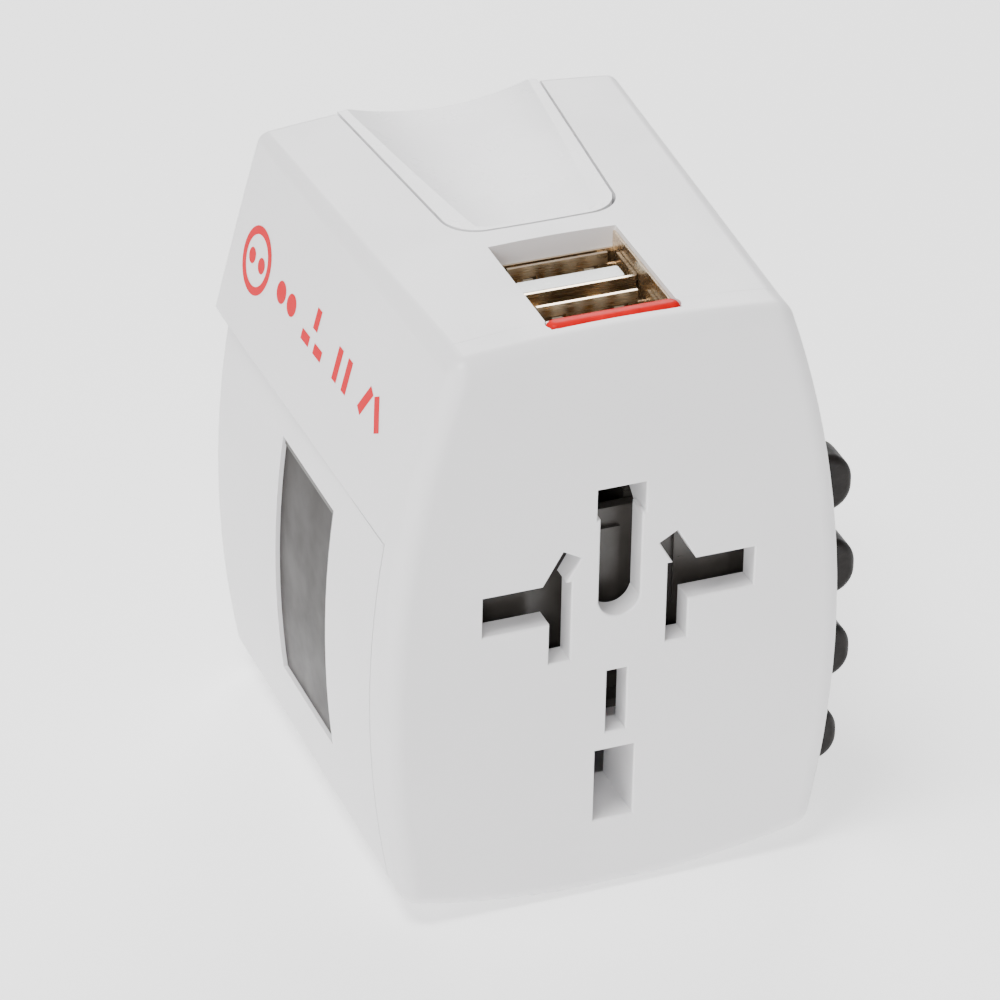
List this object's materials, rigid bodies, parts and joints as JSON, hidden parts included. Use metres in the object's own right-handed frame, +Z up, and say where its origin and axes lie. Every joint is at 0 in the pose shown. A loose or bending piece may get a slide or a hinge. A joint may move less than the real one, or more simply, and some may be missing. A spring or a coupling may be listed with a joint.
{
  "type": "universal travel adapter",
  "caption": "Travel adapter with a universal socket face, charging ports in its hood, a release button and plug sets that slide out of the rear.",
  "frame": {"origin": "middle of the narrow flat along the underside, under the socket's centre line, at the mid depth of the body", "axes": "+Z up, -Y out of the socket face, +Y out of the rear face the plug pins leave, +X towards the knobs"},
  "size_m": [0.0538, 0.0534, 0.0671],
  "materials": {
    "white_plastic": "satin moulded",
    "button_plastic": "satin moulded",
    "black_rubber": "soft satin",
    "black_plastic": "glossy dark",
    "grey_plastic": "satin",
    "nickel": "plated",
    "brass": "stamped",
    "steel_spring": "drawn wire",
    "red_light_plastic": "translucent glossy",
    "smoked_plastic": "glossy smoked",
    "circuit_board": "lacquered board",
    "component_plastic": "moulded",
    "transformer_body": "taped winding",
    "port_plastic": "moulded"
  },
  "bodies": {
    "housing": {"front_cover": "white_plastic", "rear_housing": "white_plastic", "back_plate": "white_plastic", "button_springs": "steel_spring", "socket_block": "black_plastic", "shutter_springs": "steel_spring", "neutral_contact": "brass", "live_contact": "brass", "chassis": "grey_plastic", "back_plate_screws": "steel_spring", "usb_circuit_board": "circuit_board", "front_usb_shell": "nickel", "rear_usb_shell": "nickel", "usb_port_shield": "nickel", "usb_tongues": "port_plastic", "usb_contacts": "brass", "transformer": "transformer_body", "capacitors": "component_plastic", "controller_chips": "component_plastic", "status_light_bar": "red_light_plastic", "window_lens": "smoked_plastic", "window_seal": "black_plastic"},
    "release": {"release_button": "button_plastic", "latch_bar": "grey_plastic"},
    "shutter": {"socket_shutter": "black_plastic"},
    "eu_plug": {"eu_plug_carrier": "grey_plastic", "eu_pins": "nickel", "eu_pin_sleeves": "black_plastic", "eu_knob": "black_rubber"},
    "uk_plug": {"uk_plug_carrier": "grey_plastic", "uk_pins": "brass", "uk_pin_sleeves": "black_plastic", "uk_earth_pin": "black_plastic", "uk_knob": "black_rubber"},
    "us_plug": {"us_plug_carrier": "grey_plastic", "us_pins": "nickel", "us_knob": "black_rubber"},
    "au_plug": {"au_plug_carrier": "grey_plastic", "au_pins": "nickel", "au_knob": "black_rubber"}
  },
  "joints": [
    {"name": "eu_plug_slide", "type": "slide", "parent": "housing", "child": "eu_plug", "axis": [0, 1, 0], "range_m": [0, 0.0205]},
    {"name": "uk_plug_slide", "type": "slide", "parent": "housing", "child": "uk_plug", "axis": [0, 1, 0], "range_m": [0, 0.0205]},
    {"name": "us_plug_slide", "type": "slide", "parent": "housing", "child": "us_plug", "axis": [0, 1, 0], "range_m": [0, 0.0205]},
    {"name": "au_plug_slide", "type": "slide", "parent": "housing", "child": "au_plug", "axis": [0, 1, 0], "range_m": [0, 0.0205]},
    {"name": "release_press", "type": "slide", "parent": "housing", "child": "release", "axis": [0, 0, -1], "range_m": [0, 0.0018], "stiffness_N_per_m": 600, "springref_m": -0.0005, "deforming": ["button_springs"]},
    {"name": "shutter_drop", "type": "slide", "parent": "housing", "child": "shutter", "axis": [0, 0, -1], "range_m": [0, 0.004], "stiffness_N_per_m": 60, "springref_m": -0.002, "deforming": ["shutter_springs"]}
  ]
}
